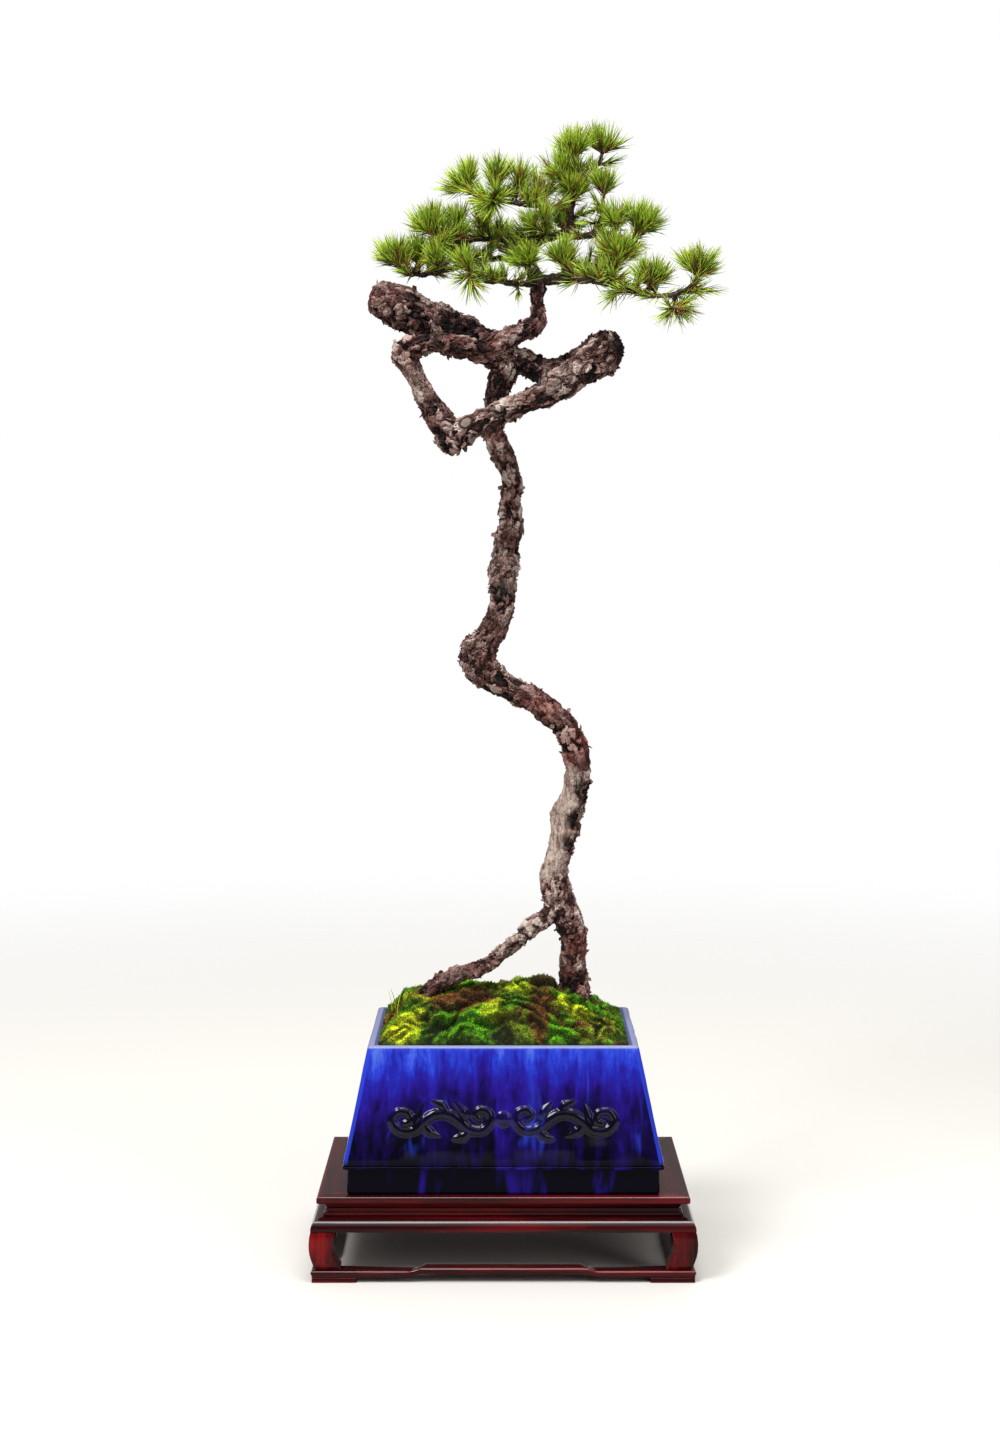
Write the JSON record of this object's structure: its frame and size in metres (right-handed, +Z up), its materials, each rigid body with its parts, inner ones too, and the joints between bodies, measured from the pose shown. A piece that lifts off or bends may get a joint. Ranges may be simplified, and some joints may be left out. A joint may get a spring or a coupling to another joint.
{
  "type": "pine bonsai",
  "caption": "Slender pine bonsai with a bent and looping trunk and a sparse needle crown, in a tapered glazed pot with moss, on a low wooden stand.",
  "frame": {"origin": "bottom centre of the wooden stand, on the surface that its feet rest on", "axes": "+X to the right as seen from the front, +Y away from the viewer, +Z up"},
  "size_m": [0.3576, 0.2094, 1.0398],
  "materials": {
    "stand_wood": "dark red-brown rosewood under a glossy lacquer",
    "pot_glaze": "cobalt-blue running glaze, darker towards the foot",
    "drain_mesh": "plain black plastic mesh",
    "potting_soil": "damp dark grit and loam",
    "moss": "bright to olive green moss cushions",
    "pine_bark": "rough flaking bark, grey over red-brown",
    "pine_needles": "fresh green needles with a soft sheen"
  },
  "bodies": {
    "root": {"top_rail_front": "stand_wood", "top_rail_right": "stand_wood", "top_rail_back": "stand_wood", "top_rail_left": "stand_wood", "top_panel": "stand_wood", "waist_front": "stand_wood", "waist_right": "stand_wood", "waist_back": "stand_wood", "waist_left": "stand_wood", "apron_front": "stand_wood", "apron_right": "stand_wood", "apron_back": "stand_wood", "apron_left": "stand_wood", "base_rail_front": "stand_wood", "base_rail_right": "stand_wood", "base_rail_back": "stand_wood", "base_rail_left": "stand_wood", "leg_front_left": "stand_wood", "leg_front_right": "stand_wood", "leg_back_right": "stand_wood", "leg_back_left": "stand_wood", "foot_front_left": "stand_wood", "foot_front_right": "stand_wood", "foot_back_right": "stand_wood", "foot_back_left": "stand_wood", "pot": "pot_glaze", "drain_screen_left": "drain_mesh", "drain_screen_right": "drain_mesh", "soil": "potting_soil", "moss": "moss", "wood": "pine_bark", "spray_left_tip": "pine_needles", "spray_left_outer": "pine_needles", "spray_left_front": "pine_needles", "spray_left_inner": "pine_needles", "spray_low_left": "pine_needles", "spray_shelf_left_tip": "pine_needles", "spray_shelf_left_middle": "pine_needles", "spray_shelf_left_inner": "pine_needles", "spray_crown_left_tip": "pine_needles", "spray_crown_left_middle": "pine_needles", "spray_crown_left_inner": "pine_needles", "spray_crown_rear": "pine_needles", "spray_apex": "pine_needles", "spray_apex_left": "pine_needles", "spray_apex_front": "pine_needles", "spray_apex_right": "pine_needles", "spray_crown_right": "pine_needles", "spray_shelf_right_tip": "pine_needles", "spray_shelf_right_rear": "pine_needles", "spray_riser_right": "pine_needles", "spray_middle_right": "pine_needles", "spray_middle_left": "pine_needles", "spray_middle_upper": "pine_needles", "spray_middle_rear": "pine_needles", "spray_low_right_middle": "pine_needles", "spray_low_right_tip": "pine_needles", "spray_low_right_drop": "pine_needles", "spray_rear_right": "pine_needles", "spray_rear_left": "pine_needles"}
  },
  "joints": []
}
